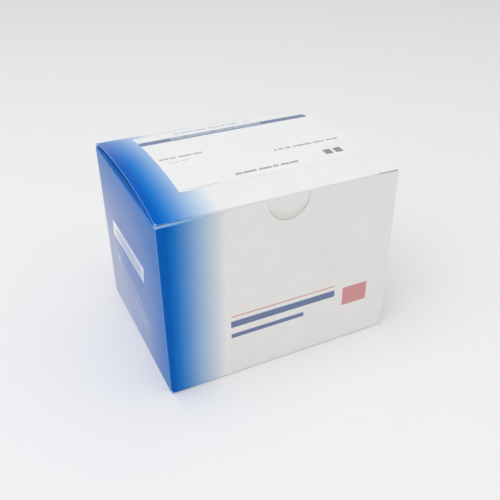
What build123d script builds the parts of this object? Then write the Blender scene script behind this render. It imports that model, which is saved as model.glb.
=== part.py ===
from build123d import *
import os
from math import asin, cos, degrees, radians, sin, tan

# Folding carton for a small kit: a glued sleeve of folding boxboard with a bowed lid that
# tucks in behind the front panel. The origin is at the middle of the base, +Z is up and
# the front panel, with its thumb notch, faces -Y.

# Outside of the sleeve, and the lid's folds above the base
width = 150.0
depth = 119.0
height = 115.3

# Board and its folds
board = 0.5
inner_fold_radius = 0.3
fold_radius = inner_fold_radius + board
centre_radius = inner_fold_radius + board / 2

# Panels of the sleeve: how far they stop below the lid's folds
front_edge_drop = 1.1
side_fold_drop = 1.7

# Thumb notch in the front panel's top edge
notch_radius = 13.3
notch_centre_drop = 1.5
notch_offset = 2.0

# Glue flap inside the right panel, and the panel's raw edge at that corner
glue_flap_width = 16.0
glue_flap_taper = 5.0
glue_flap_end_gap = 2.0
seam_setback = 0.4

# Bottom: two full flaps glued on each other, under two side flaps
bottom_end_gap = 0.6
bottom_side_flap = 48.0

# Dust flaps under the lid, folded in from the side panels
dust_flap_length = 50.0
dust_flap_rise = 1.6
dust_front_step = 3.5
dust_rear_step = 2.0
dust_rear_taper = 14.0
dust_corner_radius = 6.0

# Lid and tuck flap: the lid bows up in a crown between two shoulders, with its slopes
# in degrees at the folds and where crown and shoulders meet
lid_slope = 15.0
crown_slope = 5.0
crown_length = 60.0
bow_steps = 8
lid_side_gap = 0.4
lid_clearance = 0.3
tuck_length = 19.0
tuck_side_gap = 1.5
tuck_corner_radius = 8.0
slit_length = 11.0
slit_width = 0.35

# Label on the lid and its layer of glue, with margins from the carton's outside
label_thickness = 0.1
label_glue = 0.02
label_left_margin = 21.5
label_right_margin = 8.5
label_front_margin = 21.0
label_rear_margin = 11.0
label_corner_radius = 1.5

# Heights that follow from the board
front_top = height - front_edge_drop
side_fold_start = height - side_fold_drop - fold_radius
side_flap_level = 2 * board
sleeve_bottom = side_flap_level + fold_radius

# Centres of the lid's two folds, and the length between the ends of its bow
rear_fold_y = depth / 2 - fold_radius
tuck_y = -depth / 2 + board + lid_clearance + board / 2
front_fold_y = tuck_y + centre_radius
slope_sine, slope_cosine = sin(radians(lid_slope)), cos(radians(lid_slope))
crown_sine, crown_cosine = sin(radians(crown_slope)), cos(radians(crown_slope))
fold_level = height - board / 2 - centre_radius * slope_cosine
bow_chord = rear_fold_y - front_fold_y + 2 * centre_radius * slope_sine

# Arcs of the bow along the middle of the board, from the rear fold to the front one
crown_radius = crown_length / 2 / crown_sine
shoulder_radius = (bow_chord - crown_length) / 2 / (slope_sine - crown_sine)
bow_rise = crown_radius * (1 - crown_cosine) + shoulder_radius * (crown_cosine - slope_cosine)
crown_centre = Vector((rear_fold_y + front_fold_y) / 2, height - board / 2 + bow_rise - crown_radius)
shoulder_shift = (crown_radius - shoulder_radius) * Vector(crown_sine, crown_cosine)
shoulder_turn = lid_slope - crown_slope
rear_centre = crown_centre + shoulder_shift
front_centre = crown_centre + Vector(-shoulder_shift.X, shoulder_shift.Y)
bow_arcs = (
    (rear_centre, shoulder_radius, 90 - lid_slope, shoulder_turn),
    (crown_centre, crown_radius, 90 - crown_slope, 2 * crown_slope),
    (front_centre, shoulder_radius, 90 + crown_slope, shoulder_turn),
)

# The lid turns about the line where the back panel's face and the lid's top would meet.
# The rear fold is parted halfway round, on the plane through that line.
half_fold = (90 - lid_slope) / 2
hinge_y = depth / 2
hinge_z = fold_level + fold_radius * tan(radians(half_fold))
print("hinge line", round(hinge_y, 4), round(hinge_z, 4), "bow", round(bow_rise, 3))


def sleeve_section(level):
    """Plan of the four panels, rounded at three folds and square at the glued seam."""
    with BuildSketch(Plane.XY.offset(level)) as section:
        RectangleRounded(width, depth, fold_radius)
        with Locations((width / 2, depth / 2)):
            Rectangle(fold_radius, fold_radius, align=(Align.MAX, Align.MAX))
        RectangleRounded(width - 2 * board, depth - 2 * board, inner_fold_radius, mode=Mode.SUBTRACT)
        with Locations((width / 2, depth / 2)):
            Rectangle(board, seam_setback, align=(Align.MAX, Align.MAX), mode=Mode.SUBTRACT)
    return section.sketch


def front_section():
    """Front panel from its cut edge down, round the lower fold into the outer bottom flap."""
    y = -depth / 2 + board / 2
    with BuildSketch(Plane.YZ) as section:
        with BuildLine():
            panel = Line((y, front_top), (y, fold_radius))
            fold = JernArc(panel @ 1, panel % 1, centre_radius, 90)
            Line(fold @ 1, (depth / 2 - fold_radius, board / 2))
        trace(line_width=board)
    return section.sketch


def back_section():
    """Back panel between half of the lid's fold and the inner bottom flap."""
    y = depth / 2 - board / 2
    with BuildSketch(Plane.YZ) as section:
        with BuildLine():
            panel = Line((y, board + fold_radius), (y, fold_level))
            JernArc(panel @ 1, panel % 1, centre_radius, half_fold)
            fold = JernArc(panel @ 0, (0, -1), centre_radius, -90)
            Line(fold @ 1, (-depth / 2 + fold_radius + bottom_end_gap, board + board / 2))
        trace(line_width=board)
    return section.sketch


def side_section():
    """Left panel from its dust flap's fold down, round into the flap inside the bottom."""
    x = -width / 2 + board / 2
    with BuildSketch(Plane.XZ) as section:
        with BuildLine():
            panel = Line((x, side_fold_start), (x, sleeve_bottom))
            fold = JernArc(panel @ 1, panel % 1, centre_radius, 90)
            Line(fold @ 1, (-width / 2 + bottom_side_flap, side_flap_level + board / 2))
        trace(line_width=board)
    return section.sketch


def dust_flap_section():
    """Left dust flap: a fold at the side panel's top, then the flap, rising inwards."""
    rise_angle = degrees(asin(dust_flap_rise / dust_flap_length))
    with BuildSketch(Plane.XZ) as section:
        with BuildLine():
            fold = JernArc((-width / 2 + board / 2, side_fold_start), (0, 1), centre_radius, rise_angle - 90)
            Line(fold @ 1, fold @ 1 + (fold % 1) * dust_flap_length)
        trace(line_width=board)
    return section.sketch


def dust_flap_plan():
    """Outline of the left dust flap seen from above, stepped in at both ends of its fold."""
    outer = -width / 2
    front = -depth / 2 + dust_front_step
    back = depth / 2 - dust_rear_step
    tip = outer + dust_flap_length
    with BuildSketch(Plane.XY.offset(side_fold_start)) as plan:
        with BuildLine():
            Polyline((outer, front), (tip, front), (tip, back - dust_rear_taper), (outer, back), close=True)
        make_face()
        fillet(plan.vertices().group_by(Axis.X)[-1], dust_corner_radius)
    return plan.sketch


def draw_bow(offset):
    """The bow, offset from the middle of the board, in lengths that its layers share."""
    for centre, radius, start, turn in bow_arcs:
        for step in range(bow_steps):
            CenterArc(centre, radius + offset, start + step * turn / bow_steps, turn / bow_steps)


def lid_panel_section():
    """Half of the rear fold, the bowed panel and half of the front fold."""
    with BuildSketch(Plane.YZ) as section:
        with BuildLine():
            CenterArc((rear_fold_y, fold_level), centre_radius, half_fold, half_fold)
            draw_bow(0)
            CenterArc((front_fold_y, fold_level), centre_radius, 90 + lid_slope, half_fold)
        trace(line_width=board)
    return section.sketch


def tuck_flap_section():
    """The other half of the front fold and the flap, curved about the hinge line."""
    swing = hinge_y - tuck_y
    with BuildSketch(Plane.YZ) as section:
        with BuildLine():
            CenterArc((front_fold_y, fold_level), centre_radius, 180 - half_fold, half_fold)
            CenterArc((hinge_y, fold_level), swing, 180, degrees(tuck_length / swing))
        trace(line_width=board)
    return section.sketch


# Dust flap, used on both sides of the body
with BuildPart() as dust_flap:
    extrude(dust_flap_section(), amount=depth / 2, both=True)
    extrude(dust_flap_plan(), amount=fold_radius + 2 * dust_flap_rise + board, mode=Mode.INTERSECT)

# The sleeve, its bottom, glue flap and dust flaps, folded from one blank
panel_width = width - 2 * fold_radius
panel_depth = depth - 2 * fold_radius
with BuildPart() as carton_body:
    extrude(sleeve_section(sleeve_bottom), amount=front_top - sleeve_bottom)
    with BuildSketch(Plane.XY.offset(side_fold_start)):
        Rectangle(width, panel_depth)
    extrude(amount=height, mode=Mode.SUBTRACT)
    extrude(front_section(), amount=panel_width / 2, both=True)
    extrude(back_section(), amount=panel_width / 2, both=True)
    extrude(side_section(), amount=panel_depth / 2, both=True)
    mirror(extrude(side_section(), amount=panel_depth / 2, both=True, mode=Mode.PRIVATE), about=Plane.YZ)
    add(dust_flap.part)
    mirror(dust_flap.part, about=Plane.YZ)
    with BuildSketch(Plane.YZ.offset(width / 2 - 2 * board)):
        with BuildLine():
            hem = depth / 2 - board
            free_edge = hem - glue_flap_width
            low = sleeve_bottom + glue_flap_end_gap
            top = side_fold_start - glue_flap_end_gap
            upper_corner = (free_edge, top - glue_flap_taper)
            lower_corner = (free_edge, low + glue_flap_taper)
            Polyline((hem, low), (hem, top), upper_corner, lower_corner, close=True)
        make_face()
    extrude(amount=board)
    with BuildSketch(Plane.XZ.offset(depth / 2)):
        with Locations((notch_offset, front_top - notch_centre_drop)):
            Circle(notch_radius)
        with Locations((notch_offset, front_top)):
            Rectangle(2 * notch_radius, 2 * notch_centre_drop)
    extrude(amount=-2 * board, mode=Mode.SUBTRACT)
carton_body.part.label = "carton_body"

# Tuck flap, rounded at its free corners
tuck_width = width - 2 * (board + tuck_side_gap)
with BuildPart() as tuck_flap:
    extrude(tuck_flap_section(), amount=tuck_width / 2, both=True)
    with BuildSketch(Plane.XZ) as tuck_outline:
        with Locations((0, height)):
            Rectangle(tuck_width, 2 * (tuck_length + fold_radius))
        fillet(tuck_outline.vertices().group_by(Axis.Z)[0], tuck_corner_radius)
    extrude(amount=depth, mode=Mode.INTERSECT)

# The lid: bowed panel and tuck flap, slit at both ends of the front fold. The lengths of
# its bow are kept apart, so that the label's faces follow it.
with BuildPart() as lid:
    extrude(lid_panel_section(), amount=width / 2 - lid_side_gap, both=True, clean=False)
    add(tuck_flap.part, clean=False)
    fold_centre = Vector(front_fold_y, fold_level)
    outwards = Vector(-cos(radians(half_fold)), sin(radians(half_fold)))
    for side in (-1, 1):
        with BuildSketch(Plane.YZ.offset(side * (tuck_width / 2 - slit_length))):
            with BuildLine():
                Line(fold_centre, fold_centre + outwards * 2 * fold_radius)
            trace(line_width=slit_width)
        extrude(amount=side * 2 * slit_length, mode=Mode.SUBTRACT, clean=False)
lid.part.label = "lid"

# Label stuck on the lid, bent to its bow
label_width = width - label_left_margin - label_right_margin
label_depth = depth - label_front_margin - label_rear_margin
label_middle = ((label_left_margin - label_right_margin) / 2, (label_front_margin - label_rear_margin) / 2)
with BuildPart() as lid_label:
    with BuildSketch(Plane.YZ):
        with BuildLine():
            draw_bow(board / 2 + label_glue + label_thickness / 2)
        trace(line_width=label_thickness)
    extrude(amount=width / 2, both=True, clean=False)
    with BuildSketch(Plane.XY.offset(height)):
        with Locations(label_middle):
            RectangleRounded(label_width, label_depth, label_corner_radius)
    extrude(amount=2 * bow_rise, mode=Mode.INTERSECT, clean=False)
lid_label.part.label = "lid_label"

os.makedirs("parts", exist_ok=True)
for piece in (carton_body, lid, lid_label):
    export_step(piece.part, f"parts/{piece.part.label}.step")
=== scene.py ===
from math import asin, atan2, cos, degrees, radians, sin, sqrt

import bmesh
import bpy
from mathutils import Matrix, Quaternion, Vector


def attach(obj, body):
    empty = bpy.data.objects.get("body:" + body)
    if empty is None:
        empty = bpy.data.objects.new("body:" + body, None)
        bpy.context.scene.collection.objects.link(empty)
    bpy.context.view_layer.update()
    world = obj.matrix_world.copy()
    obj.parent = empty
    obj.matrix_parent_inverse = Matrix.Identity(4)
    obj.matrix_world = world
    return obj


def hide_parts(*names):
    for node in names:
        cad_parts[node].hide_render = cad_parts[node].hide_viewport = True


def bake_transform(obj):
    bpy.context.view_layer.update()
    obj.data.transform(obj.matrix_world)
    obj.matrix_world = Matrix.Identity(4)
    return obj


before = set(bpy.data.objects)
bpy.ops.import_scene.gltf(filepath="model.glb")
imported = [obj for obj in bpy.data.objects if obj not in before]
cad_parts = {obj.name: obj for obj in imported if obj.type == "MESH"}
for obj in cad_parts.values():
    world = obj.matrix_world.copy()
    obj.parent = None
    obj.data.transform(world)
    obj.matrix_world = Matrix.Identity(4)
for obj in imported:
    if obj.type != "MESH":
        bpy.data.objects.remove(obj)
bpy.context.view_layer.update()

# Sizes of the carton in millimetres, as its solids have them
MM = 0.001
width, depth, lid_folds = 150.0, 119.0, 115.3
board, fold = 0.5, 0.8
front_top, side_top, back_top = 114.2, 112.8, 114.0
side_low, front_low, back_low = 1.8, 0.8, 1.3
shoulder_rise = 1.1
half_width, half_depth = width / 2, depth / 2
panel_x, panel_y = half_width - fold, half_depth - fold

notch_middle, notch_radius, notch_drop = 2.0, 13.3, 1.5
glue_face, glue_free, glue_hem = 74.5, 43.0, 59.0
glue_fold, glue_low, glue_high, glue_taper = glue_face - fold, 8.8, 105.8, 5.0
seam_y = 59.1

dust_front, dust_rear, dust_tip, dust_taper, dust_corner = -56.0, 57.5, -25.0, 14.0, 6.0
dust_length, dust_lift, dust_corner_lead = 50.0, 1.6, 3.2
dust_rise = degrees(asin(dust_lift / dust_length))
dust_slope = sin(radians(dust_rise)) / cos(radians(dust_rise))
bottom_side_end, bottom_front_end, bottom_back_end = 27.0, -58.7, -58.1

lid_half, tuck_half, slit_start = 74.6, 73.0, 62.0
slit_gap, slit_droop, tuck_droop = 0.85, 0.22, 0.32
fold_level = 114.5187
rear_fold_y, front_fold_y = 58.7, -57.9
lid_slope, crown_slope = 15.0, 5.0
crown_radius, shoulder_radius = 344.21, 165.70
crown_centre = Vector((0.4, -222.835))
hinge_y, tuck_swing, tuck_length, tuck_corner = 59.5, 117.95, 19.0, 8.0
crease_reach = 0.5

# The label's lift is its own thickness and its glue
label_low, label_high = Vector((-53.5, -38.5)), Vector((66.5, 48.5))
label_corner, label_lift, label_board = 1.5, 0.12, 0.1

# How far the board gives and wears, in millimetres
panel_give, give_reach, front_lean, lid_unevenness = 0.35, 45.0, 0.2, 0.16
marked_edge = 6.0
crisp_angle = 35.0
relief_depth = 0.1 * MM

# Colours of print, board and wear, and of painted light and shade
ink_blue = (0.001, 0.118, 0.53, 1)
ink_full = (0.015, 0.20, 0.64, 1)
ink_mid = (0.12, 0.315, 0.69, 1)
ink_light = (0.37, 0.54, 0.78, 1)
ink_lilac = (0.62, 0.71, 0.81, 1)
front_depth = (1.0, 0.95, 0.92, 1)
# One board's white in two tones, painted light: warmer for the sleeve and the tuck flap, cooler for the
# lid's top as if lit from above
board_white_warm_lit = (0.842, 0.830, 0.812, 1)
lid_white_sky_lit = (0.845, 0.843, 0.848, 1)
# A lighter blue than the print, for the left dust flap's fold in the lid's shade: painted light
dust_fold_lit_blue = (0.03, 0.18, 0.62, 1)
side_deep = (0.036, 0.165, 0.50, 1)
side_pale = (0.40, 0.44, 0.605, 1)
side_white = (0.94, 0.945, 0.945, 1)
side_words = (0.42, 0.47, 0.47, 1)
# White of rubbed print, also the colour of the lid's painted sheen towards the back
worn_and_sheen_white = (0.80, 0.81, 0.83, 1)
# Light blue of rubbed print, also the colour of painted highlights along folds
rubbed_and_highlight_blue = (0.30, 0.56, 0.90, 1)
# Tan of the painted shade on the tuck flap at the foot of the notch
notch_shade_tan = (0.56, 0.535, 0.485, 1)
inside_dark = (0.68, 0.68, 0.665, 1)
inside_pale = (0.76, 0.76, 0.745, 1)
core_shade = (0.70, 0.70, 0.68, 1)
raw_core = (0.80, 0.80, 0.79, 1)
edge_smudge = (0.62, 0.61, 0.61, 1)
# Light blue of cut edges by the print: ink tint and a painted highlight
edge_ink_and_highlight_blue = (0.17, 0.47, 0.92, 1)
mark_red = (0.62, 0.10, 0.11, 1)
mark_blue = (0.035, 0.095, 0.29, 1)
small_print = (0.10, 0.11, 0.13, 1)
label_white = (0.892, 0.893, 0.896, 1)
band_blue = (0.055, 0.135, 0.31, 1)

# Printed bars: ink, then start, end, middle, height and brokenness of each, in mm, then strength
front_fade, lid_fade, front_skew = 37.6, 36.0, 0.028
band_slant = 0.25
side_band = (
    (side_white, [(-9.2, 55.6, 64.0, 12.2, 0)], 0.92),
    (side_words, [(-6, 52.5, 63.4, 5.4, 1)], 0.45),
)
faint_rows = [(-25, 4, 30.5, 1.8, 1), (-25, 4, 27, 1.8, 1), (-25, 4, 23.5, 1.8, 1), (-25, -4, 20, 1.8, 1)]
side_lines = (
    (side_white, [(31.5, 37, 43, 3.6, 0), (3, 33, 39.2, 1.4, 1), (-14, 22, 35.5, 1.2, 1)], 0.35),
    (side_white, faint_rows, 0.16),
)
front_bars = (
    (mark_blue, [(-35, 36, 38, 4.6, 0), (-35, 14, 29.5, 3.0, 0)], 0.82),
    (mark_red, [(42, 60, 33.5, 13.6, 0)], 0.7),
    (mark_red, [(-35, 36, 43.5, 0.9, 0)], 0.6),
)
label_bars = (
    (band_blue, [(-60, 63.7, 32.1, 6.8, 0)], 0.88),
    (label_white, [(-33, 30, 32.7, 4.0, 0.6)], 0.42),
    (small_print, [(-51, -24, 1.5, 1.7, 1)], 0.6),
    (small_print, [(-47.4, -35, -4.5, 1.5, 1), (-51.5, -28.8, -36.9, 0.8, 0)], 0.25),
    (small_print, [(-18, 22, -32.5, 1.9, 1), (15.5, 60, -15, 1.7, 1)], 0.6),
    (small_print, [(42, 47, -29, 5.5, 0), (49, 54, -29, 5.5, 0)], 0.75),
    (band_blue, [(-27, 18, 43, 1.8, 1)], 0.65),
    (mark_red, [(22, 28, 43, 1.8, 0)], 0.4),
)


# Laying out one face of the board

def spaced(start, end, step, fine=(0.0, 0.3, 0.8, 2.0, 5.0)):
    """Places from start to end, closer together near both ends, where folds and edges wear."""
    length = abs(end - start)
    near = [f for f in fine if f < 0.4 * length]
    inner = length - 2 * near[-1]
    count = max(1, round(inner / step))
    middle = [near[-1] + inner * k / count for k in range(1, count)]
    far = [length - f for f in reversed(near)]
    way = 1 if end > start else -1
    return [start + way * d for d in near + middle + far]


def merged(*lists, gap=0.02):
    """Several lists of places as one in order, without near repeats."""
    kept = []
    for place in sorted(p for one in lists for p in one):
        if not kept or place - kept[-1] > gap:
            kept.append(place)
    return kept


def arc(centre, radius, start, end, steps):
    """Points on an arc, with angles in degrees."""
    turn = (end - start) / steps
    angles = [radians(start + k * turn) for k in range(steps + 1)]
    return [Vector((centre[0] + radius * cos(a), centre[1] + radius * sin(a))) for a in angles]


def smooth(value):
    """A soft step from 0 to 1."""
    value = min(1.0, max(0.0, value))
    return value * value * (3 - 2 * value)


def inset(place, start, end):
    """Distance from the nearer end of a span."""
    return min(abs(place - start), abs(end - place))


def rounded(radius, off):
    """Height of a circle over its middle, at a distance from it."""
    return sqrt(max(0.0, radius ** 2 - off ** 2))


class Sheet:
    """One face of a piece of board, laid panel by panel and joined along its folds."""

    def __init__(self):
        self.points = []
        self.faces = []
        self.edge_marks = []

    def lay(self, columns, edge_marks, turned=False):
        """Adds a panel: columns of points, with each point's distance from a fold or edge."""
        base, rows = len(self.points), len(columns[0])
        for column, marks in zip(columns, edge_marks):
            self.points.extend(Vector(p) * MM for p in column)
            self.edge_marks.extend(min(marked_edge, m) for m in marks)
        for i in range(len(columns) - 1):
            for j in range(rows - 1):
                a, b = base + i * rows + j, base + (i + 1) * rows + j
                corners = (a, b, b + 1, a + 1)
                self.faces.append(corners[::-1] if turned else corners)

    def made(self, name):
        """The sheet as an object, with the panels' shared points merged."""
        mesh = bpy.data.meshes.new(name)
        mesh.from_pydata(self.points, [], self.faces)
        marks = mesh.attributes.new("edge_mm", "FLOAT", "POINT")
        marks.data.foreach_set("value", self.edge_marks)
        shaped = bmesh.new()
        shaped.from_mesh(mesh)
        bmesh.ops.remove_doubles(shaped, verts=shaped.verts, dist=0.004 * MM)
        bmesh.ops.dissolve_degenerate(shaped, edges=shaped.edges, dist=0.002 * MM)
        shaped.to_mesh(mesh)
        shaped.free()
        piece = bpy.data.objects.new(name, mesh)
        bpy.context.scene.collection.objects.link(piece)
        return piece


# Geometry Nodes: board of a given thickness, with its outside, inside and cut edge

def node(tree, kind, inputs=None, **settings):
    """Adds a node. Inputs are values or the sockets that feed them."""
    made = tree.nodes.new(kind)
    for name, value in settings.items():
        setattr(made, name, value)
    for name, value in (inputs or {}).items():
        if isinstance(value, bpy.types.NodeSocket):
            tree.links.new(value, made.inputs[name])
        else:
            made.inputs[name].default_value = value
    return made


def board_stock():
    """A tree that gives a sheet its thickness and its three finishes."""
    tree = bpy.data.node_groups.new("board stock", "GeometryNodeTree")
    sockets = tree.interface
    sockets.new_socket("Sheet", in_out="INPUT", socket_type="NodeSocketGeometry")
    sockets.new_socket("Thickness", in_out="INPUT", socket_type="NodeSocketFloat")
    for finish in ("Outside", "Inside", "Cut Edge"):
        sockets.new_socket(finish, in_out="INPUT", socket_type="NodeSocketMaterial")
    sockets.new_socket("Board", in_out="OUTPUT", socket_type="NodeSocketGeometry")
    given = tree.nodes.new("NodeGroupInput").outputs
    inward = node(tree, "GeometryNodeFlipFaces", {"Mesh": given["Sheet"]})
    thickened = {"Mesh": inward.outputs[0], "Offset Scale": given["Thickness"], "Individual": False}
    walls = node(tree, "GeometryNodeExtrudeMesh", thickened, mode="FACES")
    both = node(tree, "GeometryNodeJoinGeometry")
    tree.links.new(walls.outputs["Mesh"], both.inputs[0])
    tree.links.new(given["Sheet"], both.inputs[0])
    closed = node(tree, "GeometryNodeMergeByDistance", {"Geometry": both.outputs[0], "Distance": 0.001 * MM})
    soft = node(tree, "GeometryNodeSetShadeSmooth", {"Geometry": closed.outputs[0]}, domain="FACE")
    angle = node(tree, "GeometryNodeInputMeshEdgeAngle")
    steep = {0: angle.outputs[0], 1: radians(crisp_angle)}
    corner = node(tree, "FunctionNodeCompare", steep, data_type="FLOAT", operation="GREATER_THAN")
    sharpened = {"Geometry": soft.outputs[0], "Selection": corner.outputs[0], "Shade Smooth": False}
    crisp = node(tree, "GeometryNodeSetShadeSmooth", sharpened, domain="EDGE")
    last = node(tree, "GeometryNodeRealizeInstances", {"Geometry": crisp.outputs[0]})
    for finish, where in (("Outside", None), ("Inside", "Top"), ("Cut Edge", "Side")):
        finished = {"Geometry": last.outputs[0], "Material": given[finish]}
        last = node(tree, "GeometryNodeSetMaterial", finished)
        if where:
            tree.links.new(walls.outputs[where], last.inputs["Selection"])
    node(tree, "NodeGroupOutput", {"Board": last.outputs[0]})
    return tree


def cut_from_stock(piece, tree, values):
    """Runs the tree on a sheet and keeps the result as the piece's plain mesh."""
    stock = piece.modifiers.new("stock", "NODES")
    stock.node_group = tree
    for item in tree.interface.items_tree:
        if item.in_out == "INPUT" and item.name in values:
            stock[item.identifier] = values[item.name]
    done = piece.evaluated_get(bpy.context.evaluated_depsgraph_get())
    mesh = bpy.data.meshes.new_from_object(done)
    piece.modifiers.remove(stock)
    piece.data = mesh
    mesh.name = piece.name
    return piece


# Small parts of shader trees

def maths(tree, operation, first, second=0.0, third=0.0, clamped=False):
    """A Math node's result."""
    inputs = {0: first, 1: second, 2: third}
    return node(tree, "ShaderNodeMath", inputs, operation=operation, use_clamp=clamped).outputs[0]


def times(tree, first, *others):
    """The product of several masks."""
    for other in others:
        first = maths(tree, "MULTIPLY", first, other)
    return first


def ranged(tree, value, start, end, low=0.0, high=1.0, kind="SMOOTHSTEP"):
    """A Map Range node's result, held within its range."""
    inputs = {"Value": value, "From Min": start, "From Max": end, "To Min": low, "To Max": high}
    return node(tree, "ShaderNodeMapRange", inputs, interpolation_type=kind).outputs["Result"]


def past(tree, value, place, soft):
    """A soft step at a place in mm: 1 past it, or 1 short of it where soft is negative."""
    return ranged(tree, value, (place - soft) * MM, (place + soft) * MM)


def mixed(tree, factor, first, second):
    """A mix of two colours."""
    made = node(tree, "ShaderNodeMix", data_type="RGBA")
    for index, value in ((0, factor), (6, first), (7, second)):
        if isinstance(value, bpy.types.NodeSocket):
            tree.links.new(value, made.inputs[index])
        else:
            made.inputs[index].default_value = value
    return made.outputs[2]


def noise(tree, place, scale, detail, roughness=0.5):
    """A noise texture's value."""
    inputs = {"Vector": place, "Scale": scale, "Detail": detail, "Roughness": roughness}
    return node(tree, "ShaderNodeTexNoise", inputs).outputs[0]


def relief(tree, shader, strength, height):
    """A faint relief on a surface."""
    inputs = {"Strength": strength, "Distance": relief_depth, "Height": height}
    tree.links.new(node(tree, "ShaderNodeBump", inputs).outputs[0], shader.inputs["Normal"])


# Shader groups that several finishes share

def shader_group(name, inputs, outputs):
    """A shader node group with its sockets, and the sockets inside it."""
    tree = bpy.data.node_groups.new(name, "ShaderNodeTree")
    for label, kind in inputs:
        tree.interface.new_socket(label, in_out="INPUT", socket_type=kind)
    for label, kind in outputs:
        tree.interface.new_socket(label, in_out="OUTPUT", socket_type=kind)
    return tree, tree.nodes.new("NodeGroupInput").outputs


def print_bar_group():
    """A printed bar: its mask, with gaps where a line of small print would have them."""
    floats = ("Along", "Across", "Start", "End", "Middle", "Height", "Words", "Seed")
    sockets = [(name, "NodeSocketFloat") for name in floats]
    tree, given = shader_group("print bar", sockets, [("Mask", "NodeSocketFloat")])
    left = maths(tree, "SUBTRACT", given["Along"], given["Start"])
    right = maths(tree, "SUBTRACT", given["End"], given["Along"])
    off = maths(tree, "ABSOLUTE", maths(tree, "SUBTRACT", given["Across"], given["Middle"]))
    rise = maths(tree, "SUBTRACT", maths(tree, "MULTIPLY", given["Height"], 0.5), off)
    inside = maths(tree, "MINIMUM", maths(tree, "MINIMUM", left, right), rise)
    bar = past(tree, inside, 0.0, 0.06)
    place = maths(tree, "ADD", maths(tree, "MULTIPLY", given["Along"], 420.0), given["Seed"])
    gaps = node(tree, "ShaderNodeTexNoise", {"W": place, "Scale": 1.0, "Detail": 1.0}, noise_dimensions="1D")
    word = ranged(tree, gaps.outputs[0], 0.40, 0.44)
    kept = maths(tree, "MAXIMUM", word, maths(tree, "SUBTRACT", 1.0, given["Words"]))
    node(tree, "NodeGroupOutput", {"Mask": times(tree, bar, kept)})
    return tree


def board_face_group():
    """The face of coated board: a faint unevenness in its tone and its surface."""
    tree, given = shader_group(
        "board face",
        [("Position", "NodeSocketVector"), ("Grain", "NodeSocketFloat")],
        [("Tone", "NodeSocketFloat"), ("Height", "NodeSocketFloat")],
    )
    tone = noise(tree, given["Position"], 55.0, 3.0)
    fine = times(tree, noise(tree, given["Position"], 900.0, 2.0, 0.6), given["Grain"])
    peel = times(tree, noise(tree, given["Position"], 260.0, 1.0), 0.6)
    node(tree, "NodeGroupOutput", {"Tone": tone, "Height": maths(tree, "ADD", fine, peel)})
    return tree


def wear_group():
    """Where print and varnish are rubbed: along folds and cut edges, and most at corners."""
    sockets = [("Position", "NodeSocketVector")]
    sockets += [(name, "NodeSocketFloat") for name in ("Edge", "Reach", "Amount")]
    tree, given = shader_group("fold wear", sockets, [("Mask", "NodeSocketFloat")])
    speck = noise(tree, given["Position"], 1400.0, 4.0, 0.7)
    patch = noise(tree, given["Position"], 90.0, 2.0)
    share = maths(tree, "DIVIDE", given["Edge"], given["Reach"])
    near = maths(tree, "SUBTRACT", 1.0, share, clamped=True)
    x, y, z = node(tree, "ShaderNodeSeparateXYZ", {0: given["Position"]}).outputs
    over_x = maths(tree, "SUBTRACT", half_width * MM, maths(tree, "ABSOLUTE", x))
    over_y = maths(tree, "SUBTRACT", half_depth * MM, maths(tree, "ABSOLUTE", y))
    to_lid = maths(tree, "ABSOLUTE", maths(tree, "SUBTRACT", lid_folds * MM, z))
    over_z = maths(tree, "MINIMUM", z, to_lid)
    level = maths(tree, "ADD", maths(tree, "ABSOLUTE", over_x), maths(tree, "ABSOLUTE", over_y))
    corner = ranged(tree, maths(tree, "ADD", level, over_z), 7 * MM, 0.5 * MM)
    worn = maths(tree, "ADD", times(tree, near, patch), times(tree, corner, near, 0.8))
    specks = maths(tree, "SUBTRACT", times(tree, speck, 0.9), 0.45)
    total = maths(tree, "ADD", maths(tree, "ADD", worn, specks), given["Amount"])
    mask = ranged(tree, total, 0.62, 0.95)
    fading = maths(tree, "MINIMUM", times(tree, near, 3.0), 1.0)
    node(tree, "NodeGroupOutput", {"Mask": times(tree, mask, fading)})
    return tree


def grouped(tree, group, inputs):
    """The outputs of a node group placed with its own values."""
    return node(tree, "ShaderNodeGroup", inputs, node_tree=group).outputs


# Parts of the finishes

def finish_start(name):
    """A material with its shader, position and edge distance."""
    finish = bpy.data.materials.new(name)
    finish.use_nodes = True
    tree = finish.node_tree
    tree.nodes.clear()
    shader = tree.nodes.new("ShaderNodeBsdfPrincipled")
    node(tree, "ShaderNodeOutputMaterial", {"Surface": shader.outputs[0]})
    position = node(tree, "ShaderNodeTexCoord").outputs["Object"]
    edge = node(tree, "ShaderNodeAttribute", attribute_name="edge_mm").outputs["Fac"]
    return finish, tree, shader, position, edge


def fade(tree, value, start, end, white, depth=(1, 1, 1, 1)):
    """The blue print, full at the start and fading to the bare white of the board."""
    share = ranged(tree, value, start, end, kind="LINEAR")
    ramp = node(tree, "ShaderNodeValToRGB", {"Fac": share})
    stops = ramp.color_ramp.elements
    stops[1].position, stops[1].color = 1.0, white
    stops[0].position, stops[0].color = 0.1, [a * b for a, b in zip(ink_blue, depth)]
    for place, ink in ((0.23, ink_full), (0.39, ink_mid), (0.62, ink_light), (0.83, ink_lilac)):
        stops.new(place).color = [a * b for a, b in zip(ink, depth)]
    return ramp.outputs[0]


def printed(tree, colour, along, across, layout):
    """A colour with a layout's plain bars printed over it."""
    for ink, places, strength in layout:
        for seed, (start, end, middle, height, words) in enumerate(places):
            values = {
                "Along": along, "Across": across, "Start": start * MM, "End": end * MM,
                "Middle": middle * MM, "Height": height * MM, "Words": words, "Seed": 3.7 * seed + 1.3,
            }
            mask = grouped(tree, print_bar, values)["Mask"]
            colour = mixed(tree, times(tree, mask, strength), colour, ink)
    return colour


def worn_folds(tree, position, edge, reach, amount=-0.12):
    """The mask of worn folds and edges."""
    values = {"Position": position, "Edge": edge, "Reach": reach, "Amount": amount}
    return grouped(tree, fold_wear, values)["Mask"]


def rubbed_print(tree, x):
    """The colour of rubbed print: light blue over the ink, and white past it."""
    return mixed(tree, past(tree, x, -53.0, -9.0), worn_and_sheen_white, rubbed_and_highlight_blue)


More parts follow.
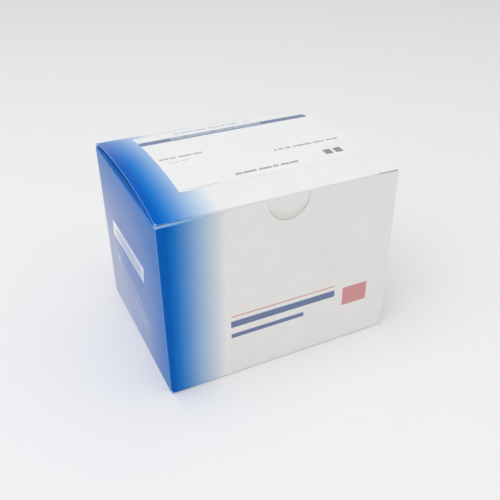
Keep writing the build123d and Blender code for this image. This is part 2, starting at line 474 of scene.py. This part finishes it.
def varnish(tree, shader, position, colour, worn, rough, grain=0.35, bump=0.05, rub=worn_and_sheen_white):
    """Colour, satin varnish and the board's faint relief, with rubbed places duller."""
    face = grouped(tree, board_face, {"Position": position, "Grain": grain})
    tone = ranged(tree, face["Tone"], 0.3, 0.7, 0.965, 1.0, kind="LINEAR")
    toned = node(tree, "ShaderNodeMix", data_type="RGBA", blend_type="MULTIPLY")
    toned.inputs[0].default_value = 1.0
    tree.links.new(mixed(tree, worn, colour, rub), toned.inputs[6])
    tree.links.new(tone, toned.inputs[7])
    tree.links.new(toned.outputs[2], shader.inputs["Base Color"])
    satin = ranged(tree, face["Tone"], 0.3, 0.7, rough - 0.03, rough + 0.03, kind="LINEAR")
    dull = maths(tree, "MULTIPLY_ADD", worn, 0.25, satin)
    tree.links.new(dull, shader.inputs["Roughness"])
    relief(tree, shader, bump, face["Height"])


def side_print(tree, y, z):
    """The blue side panel, paler towards its rear and its foot, with its plain shapes."""
    back_share = ranged(tree, y, -half_depth * MM, half_depth * MM, kind="LINEAR")
    near_front = ranged(tree, y, -half_depth * MM, -19.5 * MM, 0.30, 1.07, kind="LINEAR")
    low_share = ranged(tree, z, 116.0 * MM, 50.0 * MM, 0.08, 1.04, kind="LINEAR")
    pale = times(tree, maths(tree, "POWER", back_share, 0.55), low_share, near_front)
    colour = mixed(tree, pale, side_deep, side_pale)
    slant = maths(tree, "ADD", y, times(tree, z, band_slant))
    colour = printed(tree, colour, slant, z, side_band)
    return printed(tree, colour, y, z, side_lines)


def bare_flaps(tree, colour, x, y, z):
    """Bare white under the base and on the dust flaps, where the print has ended."""
    under = past(tree, z, 0.9, -0.3)
    inner_y = past(tree, maths(tree, "ABSOLUTE", y), 55.0, -0.1)
    colour = mixed(tree, times(tree, under, inner_y), colour, board_white_warm_lit)
    over = past(tree, z, 113.1, 0.2)
    past_bleed = past(tree, maths(tree, "ABSOLUTE", x), 63.0, -0.1)
    inner_side = past(tree, maths(tree, "ABSOLUTE", y), 58.8, -0.1)
    colour = mixed(tree, times(tree, over, past_bleed, inner_side), colour, board_white_warm_lit)
    # A lighter blue on the left dust flap's fold, which lies in the lid's shade: painted light
    return mixed(tree, times(tree, over, past(tree, x, -72.0, -0.5)), colour, dust_fold_lit_blue)


def highlight_strips(tree, colour, front, x, z, edge):
    """Light strips painted on as highlights: the front's top edge by the blue corner, and the upright fold
    there.
    """
    top_edge_highlight = times(tree, past(tree, z, 113.1, 0.4), past(tree, x, -51.0, -15.0), front, 0.8)
    upright_fold_highlight = times(
        tree,
        ranged(tree, edge, 0.3, 0.0),
        ranged(tree, z, 2.0 * MM, 6.0 * MM, 0.0, 0.24),
        past(tree, z, 112.0, -0.5),
        past(tree, x, -74.65, -0.15),
    )
    return mixed(tree, maths(tree, "MAXIMUM", top_edge_highlight, upright_fold_highlight), colour, rubbed_and_highlight_blue)


def notch_painted_shade(tree, x, z):
    """Painted shade on the tuck flap, round the foot of the notch, where the panel's rim shades it."""
    across = maths(tree, "SUBTRACT", x, notch_middle * MM)
    below = maths(tree, "SUBTRACT", (front_top - notch_drop) * MM, z)
    squares = maths(tree, "ADD", times(tree, across, across), times(tree, below, below))
    around = maths(tree, "SQRT", squares)
    rim = ranged(tree, around, 6.5 * MM, 13.0 * MM)
    foot = ranged(tree, below, 2.0 * MM, 9.0 * MM, 0.0, 0.34)
    return times(tree, rim, foot, ranged(tree, around, 15.5 * MM, 13.4 * MM))


# Finishes

def printed_sleeve():
    """The sleeve's outside: blue at the left, fading across the front and back to white."""
    finish, tree, shader, position, edge = finish_start("printed sleeve board")
    x, y, z = node(tree, "ShaderNodeSeparateXYZ", {0: position}).outputs
    skew = times(tree, maths(tree, "SUBTRACT", 60 * MM, z), front_skew)
    skewed = maths(tree, "ADD", x, skew)
    fade_end = (front_fade - half_width) * MM
    colour = fade(tree, skewed, -half_width * MM, fade_end, board_white_warm_lit, front_depth)
    colour = mixed(tree, past(tree, x, -74.6, -0.3), colour, side_print(tree, y, z))
    front = past(tree, y, -59.15, -0.15)
    colour = mixed(tree, front, colour, printed(tree, colour, x, z, front_bars))
    colour = bare_flaps(tree, colour, x, y, z)
    # Painted highlights along the front's top edge and the upright fold at the blue corner
    colour = highlight_strips(tree, colour, front, x, z, edge)
    worn = worn_folds(tree, position, edge, 1.1)
    varnish(tree, shader, position, colour, worn, 0.34, rub=rubbed_print(tree, x))
    shader.inputs["Specular IOR Level"].default_value = 0.05
    return finish


def printed_lid():
    """The lid's outside: blue along its left edge, with a painted sheen towards the back."""
    finish, tree, shader, position, edge = finish_start("printed lid board")
    x, y, z = node(tree, "ShaderNodeSeparateXYZ", {0: position}).outputs
    # The lid's print fades to the cooler white, a painted light from above
    colour = fade(tree, x, -half_width * MM, (lid_fade - half_width) * MM, lid_white_sky_lit)
    # Paler towards the back: a painted sheen of the varnish
    rear_painted_sheen = ranged(tree, y, 0.0, 58.0 * MM, 0.0, 0.12)
    colour = mixed(tree, rear_painted_sheen, colour, worn_and_sheen_white)
    colour = mixed(tree, past(tree, z, 109.1, -0.1), colour, board_white_warm_lit)
    flap_face = times(tree, past(tree, z, 114.3, -0.3), past(tree, x, -41.0, 3.0))
    colour = mixed(tree, flap_face, colour, board_white_warm_lit)
    # A tan painted shade on the tuck flap round the foot of the notch
    colour = mixed(tree, notch_painted_shade(tree, x, z), colour, notch_shade_tan)
    worn = worn_folds(tree, position, edge, 1.2)
    varnish(tree, shader, position, colour, worn, 0.33, rub=rubbed_print(tree, x))
    shader.inputs["Specular IOR Level"].default_value = 0.05
    return finish


def plain_inside():
    """The board's inside: uncoated, a little grey, with short fibres."""
    finish, tree, shader, position, edge = finish_start("plain inside board")
    cloud = noise(tree, position, 40.0, 4.0)
    stretched = node(tree, "ShaderNodeMapping", {"Vector": position, "Scale": (1.0, 1.0, 4.0)})
    fibres = noise(tree, stretched.outputs[0], 1100.0, 3.0, 0.7)
    tone = maths(tree, "MULTIPLY_ADD", fibres, 0.5, times(tree, cloud, 0.5))
    colour = mixed(tree, ranged(tree, tone, 0.3, 0.7), inside_dark, inside_pale)
    tree.links.new(colour, shader.inputs["Base Color"])
    tree.links.new(ranged(tree, edge, 0.0, 2.0, 0.72, 0.85), shader.inputs["Roughness"])
    relief(tree, shader, 0.25, fibres)
    shader.inputs["Specular IOR Level"].default_value = 0.3
    return finish


def raw_edge(name, tint):
    """A cut edge: the board's white core with its torn fibres, tinted a light blue where the print ends
    there, partly ink and partly a painted highlight.
    """
    finish, tree, shader, position, _ = finish_start(name)
    fibres = noise(tree, position, 2600.0, 4.0, 0.75)
    smudge = noise(tree, position, 120.0, 2.0)
    colour = mixed(tree, ranged(tree, fibres, 0.35, 0.65), core_shade, raw_core)
    colour = mixed(tree, ranged(tree, smudge, 0.55, 0.75, 0.0, 0.25), colour, edge_smudge)
    x = node(tree, "ShaderNodeSeparateXYZ", {0: position}).outputs[0]
    # Light blue towards the printed end: the ink's tint and a painted highlight where the edge catches light
    ink_and_highlight_share = ranged(tree, x, -44.0 * MM, -58.0 * MM, 0.0, tint)
    tree.links.new(mixed(tree, ink_and_highlight_share, colour, edge_ink_and_highlight_blue), shader.inputs["Base Color"])
    tree.links.new(ranged(tree, fibres, 0.3, 0.7, 0.75, 0.92), shader.inputs["Roughness"])
    relief(tree, shader, 0.4, fibres)
    return finish


def printed_label():
    """The label: smooth white paper with a blue band and places for small print."""
    finish, tree, shader, position, edge = finish_start("printed label paper")
    x, y, _ = node(tree, "ShaderNodeSeparateXYZ", {0: position}).outputs
    colour = printed(tree, label_white, x, y, label_bars)
    worn = worn_folds(tree, position, edge, 0.5, -0.2)
    varnish(tree, shader, position, colour, worn, 0.42, grain=0.7, bump=0.06)
    return finish


# Walls

def give(along, across, reach=give_reach):
    """How far a panel of thin board gives inwards, from its distances to its folds."""
    return panel_give * smooth(along / reach) * smooth(across / reach)


def upright(columns_xy, lows, tops, marks, levels):
    """Columns of points up a wall, with each column's own lower and upper end."""
    columns, edge_marks = [], []
    for (x, y), low, top, mark in zip(columns_xy, lows, tops, marks):
        heights = [low + (top - low) * level for level in levels]
        columns.append([(x, y, z) for z in heights])
        edge_marks.append([min(mark, z - low, top - z) for z in heights])
    return columns, edge_marks


def side_edge(y):
    """Height of a side wall's top, which steps up in front of its dust flap."""
    return side_top + shoulder_rise * smooth((dust_front - 0.2 - y) / 0.8)


def lay_walls(sheet):
    """The sleeve's four walls and glue flap, round its vertical folds."""
    levels = [z / lid_folds for z in spaced(0.0, lid_folds, 6.0)]
    places, lows, tops, marks = [], [], [], []

    def column(x, y, low, top, mark):
        places.append((x, y))
        lows.append(low)
        tops.append(top)
        marks.append(mark)

    def turn(centre, start, low_pair, top_pair, steps=6):
        for k in range(1, steps):
            share = k / steps
            angle = radians(start + 90 * k / steps)
            low = low_pair[0] + (low_pair[1] - low_pair[0]) * share
            top = top_pair[0] + (top_pair[1] - top_pair[0]) * share
            column(centre[0] + fold * cos(angle), centre[1] + fold * sin(angle), low, top, 0.0)

    for y in spaced(glue_free, panel_y, 5.0):
        taper = glue_taper * (y - glue_free) / (glue_hem - glue_free)
        column(glue_face, y, glue_low - taper, glue_high + taper, inset(y, glue_free, panel_y))
    turn((glue_fold, panel_y), 0, (glue_low - glue_taper, back_low), (glue_high + glue_taper, back_top))
    for x in spaced(glue_fold, -panel_x, 6.0):
        gap = inset(x, glue_fold, -panel_x)
        column(x, half_depth - give(gap, 30), back_low, back_top, gap)
    turn((-panel_x, panel_y), 90, (back_low, side_low), (back_top, side_top))
    for y in reversed(side_columns()):
        column(-half_width, y, side_low, side_edge(y), panel_y - abs(y))
    turn((-panel_x, -panel_y), 180, (side_low, front_low), (side_top + shoulder_rise, front_top))
    for x in front_columns():
        column(x, -half_depth, front_low, notch_edge(x), panel_x - abs(x))
    turn((panel_x, -panel_y), 270, (front_low, side_low), (front_top, side_top + shoulder_rise))
    for y in side_columns() + [seam_y]:
        column(half_width, y, side_low, side_edge(y), panel_y - abs(y) if y < panel_y else 0.2)
    columns, edge_marks = upright(places, lows, tops, marks, levels)
    sheet.lay([[soft_panel(point) for point in points] for points in columns], edge_marks)


def soft_panel(point):
    """Moves a point of a wall inwards by what the panel gives there."""
    x, y, z = point
    up = min(z - 4.0, 108.0 - z)
    if abs(abs(y) - half_depth) < 0.01 or abs(y) > panel_y:
        lean = 0.0
        if y < 0:
            lean = front_lean * smooth((z - 84) / 14) * smooth((64 - abs(x)) / 8)
        inward = 0.6 * give(panel_x - abs(x), up) + lean
        return (x, y - (1 if y > 0 else -1) * inward, z) if abs(x) < panel_x else point
    if abs(abs(x) - half_width) < 0.01:
        return (x - (1 if x > 0 else -1) * give(panel_y - abs(y), up), y, z)
    return point


def side_columns():
    """Places along a side wall, with the ends of its dust flap."""
    even = spaced(-panel_y, panel_y, 6.0)
    flap = [dust_front, dust_rear, dust_front - 0.2, dust_front - 0.6, dust_front - 1.0]
    inner = merged(even, flap, dust_columns(), gap=0.15)
    return [-panel_y] + [p for p in inner if -panel_y < p < panel_y] + [panel_y]


def front_columns():
    """Places across the front panel, close together round the thumb notch."""
    notch = [notch_middle - notch_radius * cos(radians(a)) for a in range(0, 181, 5)]
    shoulders = [notch_middle - notch_radius - 0.03, notch_middle + notch_radius + 0.03]
    even = [x for x in spaced(-panel_x, panel_x, 6.0) if abs(x - notch_middle) > notch_radius + 1]
    return sorted(notch + shoulders + even)


def notch_edge(x):
    """Height of the front panel's cut edge, down round the thumb notch."""
    off = abs(x - notch_middle)
    if off > notch_radius + 0.01:
        return front_top
    return front_top - notch_drop - rounded(notch_radius, off)


# Bottom and dust flaps

def lay_bottom(sheet):
    """The four bottom flaps, round their folds: front and back ones whole, sides in part."""
    quarter = [radians(a) for a in range(0, 91, 15)]

    def flap(columns, place, fold_at, low, end, level):
        inward = spaced(fold_at, end, 8.0)[1:]
        made, marks = [], []
        for c in columns:
            line = [place(c, fold_at + fold * cos(a), low - fold * sin(a)) for a in quarter]
            made.append(line + [place(c, p, level) for p in inward])
            marks.append([0.0] * len(quarter) + [inset(p, inward[0], end) for p in inward])
        sheet.lay(made, marks, turned=True)

    back = spaced(glue_fold, -panel_x, 6.0)
    side = side_columns()
    flap(front_columns(), lambda c, p, z: (c, -p, z), panel_y, front_low, bottom_front_end, 0.0)
    flap(back, lambda c, p, z: (c, p, z), panel_y, back_low, bottom_back_end, board)
    flap(side[::-1], lambda c, p, z: (-p, c, z), panel_x, side_low, bottom_side_end, 2 * board)
    flap(side, lambda c, p, z: (p, c, z), panel_x, side_low, bottom_side_end, 2 * board)


def dust_columns():
    """Places across a dust flap, close together at its rounded corners."""
    front_corner = [dust_front + dust_corner * (1 - cos(radians(a))) for a in range(0, 91, 10)]
    taper_start = dust_rear - dust_taper
    rear_corner = [taper_start - 3.0 + 0.75 * k for k in range(13)]
    return merged(front_corner, spaced(-50, 40, 6.0), rear_corner, [54, 56.5, 57.2, dust_rear], gap=0.15)


def dust_reach(y):
    """How far in from its fold a dust flap reaches, at a place across it."""
    tip = dust_tip + half_width
    if y < dust_front + dust_corner:
        return tip - dust_corner + rounded(dust_corner, dust_corner - (y - dust_front))
    taper_start = dust_rear - dust_taper
    bend = radians(90) - atan2(dust_taper, tip)
    off = y - (taper_start - dust_corner * sin(bend / 2) / cos(bend / 2))
    if y <= taper_start - dust_corner_lead or off <= 0:
        return tip
    if off < dust_corner * sin(bend):
        return tip - dust_corner + rounded(dust_corner, off)
    return tip * (dust_rear - y) / dust_taper


def dust_line(y, shares):
    """A row of points from a dust flap's fold to its end, as distance in and height, with marks."""
    reach = dust_reach(y)
    line, marks = [], []
    for k in range(7):
        a = radians(180 - (90 - dust_rise) * k / 6)
        off = min(fold + fold * cos(a), reach)
        line.append((off, side_top + fold * sin(a) if reach > 0.01 else side_top))
        marks.append(0.0)
    start_z = side_top + fold * cos(radians(dust_rise))
    start = fold - fold * sin(radians(dust_rise))
    for share in shares:
        off = start + max(0.0, reach - start) * share
        line.append((off, start_z + (off - start) * dust_slope if reach > 0.01 else side_top))
        marks.append(min(off, max(0.0, reach - off), y - dust_front))
    return line, marks


def lay_dust_flaps(sheet):
    """The two dust flaps, folded in from the side walls and rising a little."""
    ends = [y for y in side_columns() if dust_front <= y <= dust_rear]
    shares = [s / dust_length for s in spaced(0, dust_length, 5.0)][1:]
    for side in (-1, 1):
        columns, marks = [], []
        for y in ends:
            line, line_marks = dust_line(y, shares)
            columns.append([(side * (half_width - off), y, z) for off, z in line])
            marks.append(line_marks)
        if side < 0:
            columns, marks = columns[::-1], marks[::-1]
        sheet.lay(columns, marks)


# Lid

def bow_point(angle, lift):
    """A point of the lid's bow, by the angle of its normal, lifted from the board's middle."""
    lean = radians(crown_slope)
    shift = (crown_radius - shoulder_radius) * Vector((sin(lean), cos(lean)))
    centre, radius = crown_centre, crown_radius
    if angle < 90 - crown_slope:
        centre, radius = crown_centre + shift, shoulder_radius
    elif angle > 90 + crown_slope:
        centre, radius = crown_centre + Vector((-shift.x, shift.y)), shoulder_radius
    return centre + (radius + lift) * Vector((cos(radians(angle)), sin(radians(angle))))


def bow_angle(y, lift):
    """The angle of the bow's normal at a place from front to back."""
    low, high = 70.0, 110.0
    for _ in range(40):
        middle = (low + high) / 2
        if bow_point(middle, lift).x > y:
            low = middle
        else:
            high = middle
    return (low + high) / 2


def lid_wave(x, y):
    """Slight unevenness of the bowed lid, in mm, none at its folds."""
    calm = smooth((half_depth - abs(y)) / 25)
    return lid_unevenness * calm * (sin(x / 23.0 + 0.8) * cos(y / 31.0) - 1.0)


def tuck_face(x, down):
    """Where the tuck flap's outer face stands: curved clear of the panel, fuller in the notch."""
    radius = tuck_swing + board / 2
    rim = max(0.0, fold_level - notch_edge(x)) if abs(x - notch_middle) < notch_radius else 0.0
    curved = hinge_y - sqrt(radius ** 2 + rim ** 2 - down ** 2)
    return max(hinge_y - radius, curved)


def lid_columns():
    """Places across the lid, close together at its corners, its slits and the notch."""
    corner = [tuck_half - tuck_corner * (1 - cos(radians(a))) for a in range(0, 91, 10)]
    slit = [slit_start + d for d in (0.0, 0.3, 0.7, 1.1, 1.5)]
    thumb = [notch_middle + 1.33 * k for k in range(-11, 12)]
    half = merged(spaced(0.0, lid_half, 6.0)[4:], corner, slit, [tuck_half, lid_half], gap=0.1)
    half = [x for x in half if max(thumb) + 1 < x <= lid_half]
    return sorted({-x for x in half} | set(half) | set(thumb))


def lid_angles():
    """Angles of the bow's normal, from the front fold to the strip across the rear fold."""
    first, last = 90 + lid_slope, 90 - lid_slope + degrees(crease_reach / shoulder_radius)
    even = [first + (last - first) * k / 48 for k in range(49)]
    near_front = [first - degrees(d / shoulder_radius) for d in (0.3, 0.8, 2.0)]
    return sorted(set(even + near_front), reverse=True)


def lay_bow(sheet, xs):
    """The bowed panel itself."""
    angles = lid_angles()
    columns, marks = [], []
    for x in xs:
        points = [bow_point(angle, board / 2) for angle in angles]
        columns.append([(x, p.x, p.y + lid_wave(x, p.x)) for p in points])
        marks.append([min(lid_half - abs(x), inset(p.x, front_fold_y, rear_fold_y)) for p in points])
    sheet.lay(columns, marks)


def lay_slit_edges(sheet, xs):
    """The panel's short ends past the slits, which droop a little to the front."""
    start = bow_point(90 + lid_slope, board / 2)
    lean = radians(lid_slope)
    for side in (-1, 1):
        columns = []
        for x in (x for x in xs if side * x >= slit_start - 0.01):
            reach = slit_gap * smooth((abs(x) - slit_start) / 1.5)
            droop = slit_droop * smooth((abs(x) - slit_start) / 3.0)
            line = []
            for share in (1.0, 0.5, 0.0):
                off = reach * share
                line.append((x, start.x - off * cos(lean), start.y - (off * sin(lean) + droop * share)))
            columns.append(line)
        sheet.lay(columns, [[0.0, 0.0, 0.0]] * len(columns))


def lay_front_fold(sheet, xs):
    """The rounded front fold between the slits."""
    turns = arc((front_fold_y, fold_level), fold, 180, 90 + lid_slope, 8)
    columns = [[(x, p.x, p.y) for p in turns] for x in xs if abs(x) <= slit_start + 0.01]
    sheet.lay(columns, [[0.0] * len(turns)] * len(columns))


def lay_tuck_flap(sheet, xs):
    """The tuck flap with its rounded corners, lower at its ends where the slits free it."""
    shares = [s / tuck_length for s in spaced(0.0, tuck_length, 3.0)][::-1]
    columns, marks = [], []
    for x in (x for x in xs if abs(x) <= tuck_half + 0.01):
        gap = tuck_half - abs(x)
        reach = tuck_length
        if gap < tuck_corner:
            reach = tuck_length - tuck_corner + rounded(tuck_corner, tuck_corner - gap)
        drop = tuck_droop * smooth((abs(x) - slit_start) / 5.0)
        downs = [drop + (reach - drop) * share for share in shares]
        columns.append([(x, tuck_face(x, down), fold_level - down) for down in downs])
        marks.append([min(down, reach - down, gap) for down in downs])
    sheet.lay(columns, marks)


def lay_lid(sheet):
    """The bowed lid, its front fold and tuck flap, with a slit at both ends of the fold."""
    xs = lid_columns()
    lay_bow(sheet, xs)
    lay_slit_edges(sheet, xs)
    lay_front_fold(sheet, xs)
    lay_tuck_flap(sheet, xs)


def crease_path():
    """The strip across the rear fold as seen from the side, from the back panel on to the lid."""
    path = [Vector((half_depth, back_top)), Vector((half_depth, fold_level))]
    path += arc((rear_fold_y, fold_level), fold, 0, 90 - lid_slope, 8)[1:]
    return path + [bow_point(90 - lid_slope + degrees(crease_reach / shoulder_radius), board / 2)]


def lay_crease(sheet):
    """The strip across the rear fold, as wide as the back panel and then as the lid."""
    path = crease_path()
    reaches = [panel_x + (lid_half - panel_x) * k / (len(path) - 1) for k in range(len(path))]
    shares = spaced(1.0, -1.0, 0.05, fine=(0.0, 0.004, 0.011, 0.027))
    columns = [[(share * reach, p.x, p.y) for reach, p in zip(reaches, path)] for share in shares]
    sheet.lay(columns, [[0.0] * len(path)] * len(shares))


def lay_label(sheet):
    """The label, bent to the lid, with rounded corners."""
    corner = [label_corner * (1 - cos(radians(a))) for a in range(0, 91, 15)]
    near = [label_low.x + d for d in corner]
    far = [label_high.x - d for d in corner]
    xs = merged(near, far, spaced(label_low.x, label_high.x, 5.0), gap=0.02)
    shares = [s / 100 for s in spaced(0, 100, 2.5, fine=(0.0, 0.3, 0.9, 2.0))]
    lift = board / 2 + label_lift
    columns, marks = [], []
    for x in xs:
        gap = inset(x, label_low.x, label_high.x)
        cut = label_corner - rounded(label_corner, label_corner - gap) if gap < label_corner else 0.0
        ys = [label_low.y + cut + (label_high.y - label_low.y - 2 * cut) * share for share in shares]
        points = [bow_point(bow_angle(y, lift), lift) for y in ys]
        columns.append([(x, p.x, p.y + lid_wave(x, p.x)) for p in points])
        marks.append([min(gap, y - label_low.y, label_high.y - y) for y in ys])
    sheet.lay(columns, marks)


# Pieces

print_bar = print_bar_group()
board_face = board_face_group()
fold_wear = wear_group()
stock = board_stock()
sleeve_finish, lid_finish, label_finish = printed_sleeve(), printed_lid(), printed_label()
inside_board = plain_inside()
cut_edge, lid_edge = raw_edge("raw board edge", 0.5), raw_edge("raw lid edge", 0.92)


def cut_piece(name, lay, outside, thickness=board, edges=cut_edge):
    """A finished piece of board or paper, laid out step by step."""
    sheet = Sheet()
    for step in lay:
        step(sheet)
    values = {"Thickness": thickness * MM, "Outside": outside, "Inside": inside_board, "Cut Edge": edges}
    return cut_from_stock(sheet.made(name), stock, values)


sleeve = cut_piece("carton_sleeve", (lay_walls, lay_bottom, lay_dust_flaps), sleeve_finish)
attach(sleeve, "carton")
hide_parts("carton_body")

lid_panel = cut_piece("bowed_lid", (lay_lid,), lid_finish, edges=lid_edge)
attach(lid_panel, "lid")
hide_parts("lid")

label = cut_piece("lid_sticker", (lay_label,), label_finish, thickness=label_board)
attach(label, "lid")
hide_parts("lid_label")

crease = cut_piece("rear_crease", (lay_crease,), lid_finish)
crease_start, crease_end = crease_path()[0], crease_path()[-1]
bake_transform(crease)


# Floor, light and camera

floor_reach, floor_gap = 12.0, 0.0002
floor_pale = (0.89, 0.885, 0.885, 1)
room_light, room_light_left = (0.97, 0.985, 1.0, 1), (1.28, 1.29, 1.29, 1)
room_horizon, room_ceiling = (0.84, 0.85, 0.87, 1), (0.08, 0.08, 0.09, 1)
room_seen = (0.79, 0.80, 0.81, 1)
carton_middle = (0, 0, 0.05)
lamps = (
    ("key", (-0.5, -0.2, 1.58), 1.4, 8.6, (1.0, 0.99, 0.98)),
    ("right fill", (0.9, -0.9, 0.8), 1.2, 0.95, (1.0, 0.95, 0.88)),
    ("left fill", (-1.2, -0.3, 0.7), 1.2, 1.8, (1.0, 0.98, 0.95)),
)
camera_place = Vector((-148.7, -322.77, 269.04)) * MM
camera_aim = Vector((15.56, 19.74, 31.53)) * MM
camera_roll, camera_lens = -0.514, 44.98


def pale_floor():
    """A plain pale floor that keeps the carton's soft shadow."""
    mesh = bpy.data.meshes.new("pale_floor")
    corners = [(x * floor_reach, y * floor_reach, 0) for x, y in ((-1, -1), (1, -1), (1, 1), (-1, 1))]
    mesh.from_pydata(corners, [], [(0, 1, 2, 3)])
    floor = bpy.data.objects.new("pale_floor", mesh)
    bpy.context.scene.collection.objects.link(floor)
    floor.location.z = -floor_gap
    finish, _, shader, _, _ = finish_start("pale floor")
    shader.inputs["Base Color"].default_value = floor_pale
    shader.inputs["Roughness"].default_value = 0.7
    shader.inputs["Specular IOR Level"].default_value = 0.2
    mesh.materials.append(finish)


def soft_light(name, place, size, watts, colour):
    """A large soft square lamp turned towards the carton."""
    lamp = bpy.data.lights.new(name, "AREA")
    lamp.shape, lamp.size, lamp.size_y = "RECTANGLE", size, size
    lamp.energy, lamp.color = watts, colour
    light = bpy.data.objects.new(name, lamp)
    bpy.context.scene.collection.objects.link(light)
    light.location = place
    light.rotation_mode = "QUATERNION"
    light.rotation_quaternion = (Vector(carton_middle) - Vector(place)).to_track_quat("-Z", "Y")


def room():
    """Even light from all round, and a pale room for the camera and the varnish to see."""
    world = bpy.data.worlds.new("pale room")
    bpy.context.scene.world = world
    world.use_nodes = True
    tree = world.node_tree
    tree.nodes.clear()
    rays = node(tree, "ShaderNodeLightPath").outputs
    way = node(tree, "ShaderNodeTexCoord").outputs["Generated"]
    across, _, rise = node(tree, "ShaderNodeSeparateXYZ", {0: way}).outputs
    ceiling = mixed(tree, ranged(tree, rise, 0.1, 0.75), room_horizon, room_ceiling)
    around = mixed(tree, ranged(tree, across, 0.0, -0.9), room_light, room_light_left)
    light = node(tree, "ShaderNodeBackground", {"Color": around, "Strength": 0.68}).outputs[0]
    mirrored = node(tree, "ShaderNodeBackground", {"Color": ceiling, "Strength": 1.0}).outputs[0]
    shown = node(tree, "ShaderNodeBackground", {"Color": room_seen, "Strength": 1.0}).outputs[0]
    bounced = {0: rays["Is Glossy Ray"], 1: light, 2: mirrored}
    varnished = node(tree, "ShaderNodeMixShader", bounced).outputs[0]
    viewed = {0: rays["Is Camera Ray"], 1: varnished, 2: shown}
    seen = node(tree, "ShaderNodeMixShader", viewed).outputs[0]
    node(tree, "ShaderNodeOutputWorld", {"Surface": seen})


def camera():
    """The camera at the photograph's viewing angle."""
    lens = bpy.data.cameras.new("camera")
    lens.sensor_width, lens.lens = 36.0, camera_lens
    lens.clip_start, lens.clip_end = 0.01, 20.0
    eye = bpy.data.objects.new("camera", lens)
    bpy.context.scene.collection.objects.link(eye)
    eye.location = camera_place
    eye.rotation_mode = "QUATERNION"
    level = (camera_aim - camera_place).to_track_quat("-Z", "Y")
    eye.rotation_quaternion = level @ Quaternion((0, 0, 1), radians(camera_roll))
    bpy.context.scene.camera = eye


pale_floor()
room()
for lamp_name, lamp_place, lamp_size, lamp_watts, lamp_colour in lamps:
    soft_light(lamp_name, lamp_place, lamp_size, lamp_watts, lamp_colour)
camera()
bpy.context.scene.view_settings.view_transform = "Standard"
